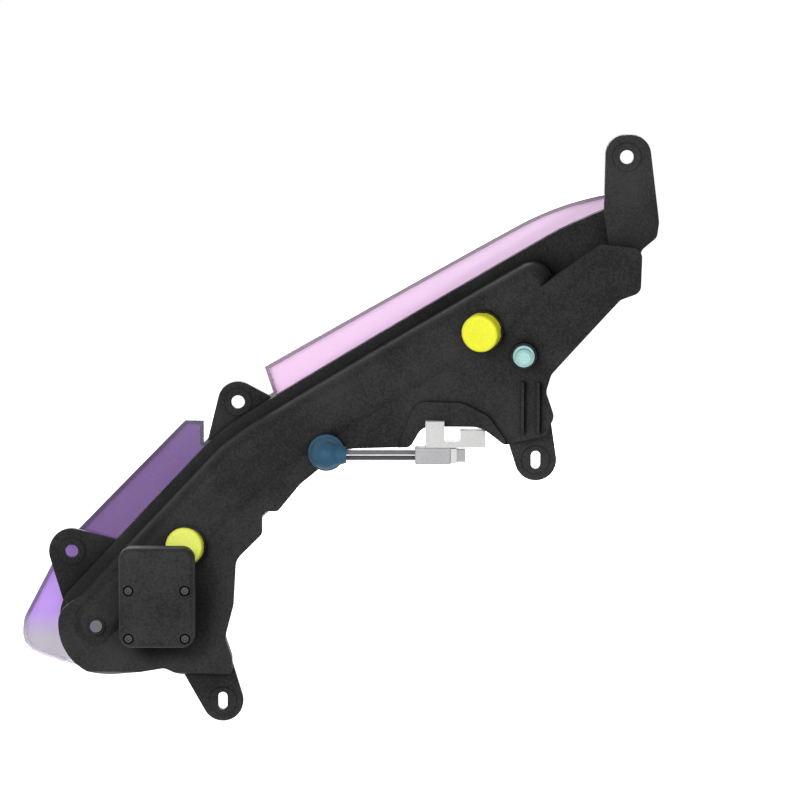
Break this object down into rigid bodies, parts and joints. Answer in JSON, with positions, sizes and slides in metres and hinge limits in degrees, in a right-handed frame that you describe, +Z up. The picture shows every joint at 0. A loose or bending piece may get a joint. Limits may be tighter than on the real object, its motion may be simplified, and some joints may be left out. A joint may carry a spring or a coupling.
{
  "type": "daytime running light",
  "caption": "Slim swept daytime running light with a tinted lens, black housing with fixing tabs and breather caps, LED light bar, driver box and parked lead connector.",
  "frame": {"origin": "centre of the middle tab's hole, on its raised rear seat", "axes": "+X to the outboard end of the lamp, +Y to the front of the vehicle, +Z up"},
  "size_m": [0.3972, 0.1575, 0.3696],
  "materials": {
    "lens_tinted": "clear tinted polycarbonate",
    "seal_black": "butyl sealing bead",
    "housing_black": "fine-grained moulding",
    "bezel_silver": "metallised satin",
    "diffuser_opal": "opal",
    "reflector_silver": "metallised bright",
    "led_yellow": "phosphor-coated package",
    "board_aluminium": "white solder mask",
    "sink_aluminium": "as extruded",
    "screw_steel": "zinc plated",
    "outer_screw_steel": "dark zinc plated",
    "wire_light_grey": "insulation",
    "wire_dark_grey": "insulation",
    "header_white": "moulded",
    "boot_blue": "satin silicone",
    "connector_grey": "moulded",
    "retainer_white": "moulded",
    "terminal_brass": "tinned",
    "clip_white": "moulded",
    "vent_yellow": "moulded",
    "membrane_white": "porous membrane",
    "stud_mint": "moulded",
    "gasket_black": "foam",
    "board_green": "circuit board",
    "component_dark": "moulded",
    "cover_black": "fine-grained moulding"
  },
  "bodies": {
    "root": {"lens": "lens_tinted", "lens_seal": "seal_black", "housing": "housing_black", "bezel": "bezel_silver", "diffuser_bar": "diffuser_opal", "cup_reflector": "reflector_silver", "led_packages": "led_yellow", "led_board": "board_aluminium", "heat_sink": "sink_aluminium", "heat_sink_screws": "screw_steel", "lead_wire_light": "wire_light_grey", "lead_wire_dark": "wire_dark_grey", "board_header": "header_white", "lead_boot": "boot_blue", "connector_body": "connector_grey", "connector_retainer": "retainer_white", "connector_terminals": "terminal_brass", "connector_clip": "clip_white", "outboard_vent_cap": "vent_yellow", "inboard_vent_cap": "vent_yellow", "vent_membranes": "membrane_white", "locating_stud": "stud_mint", "driver_gasket": "gasket_black", "driver_board": "board_green", "driver_components": "component_dark", "driver_cover": "cover_black", "driver_cover_screws": "screw_steel", "outer_screw": "outer_screw_steel"}
  },
  "joints": []
}
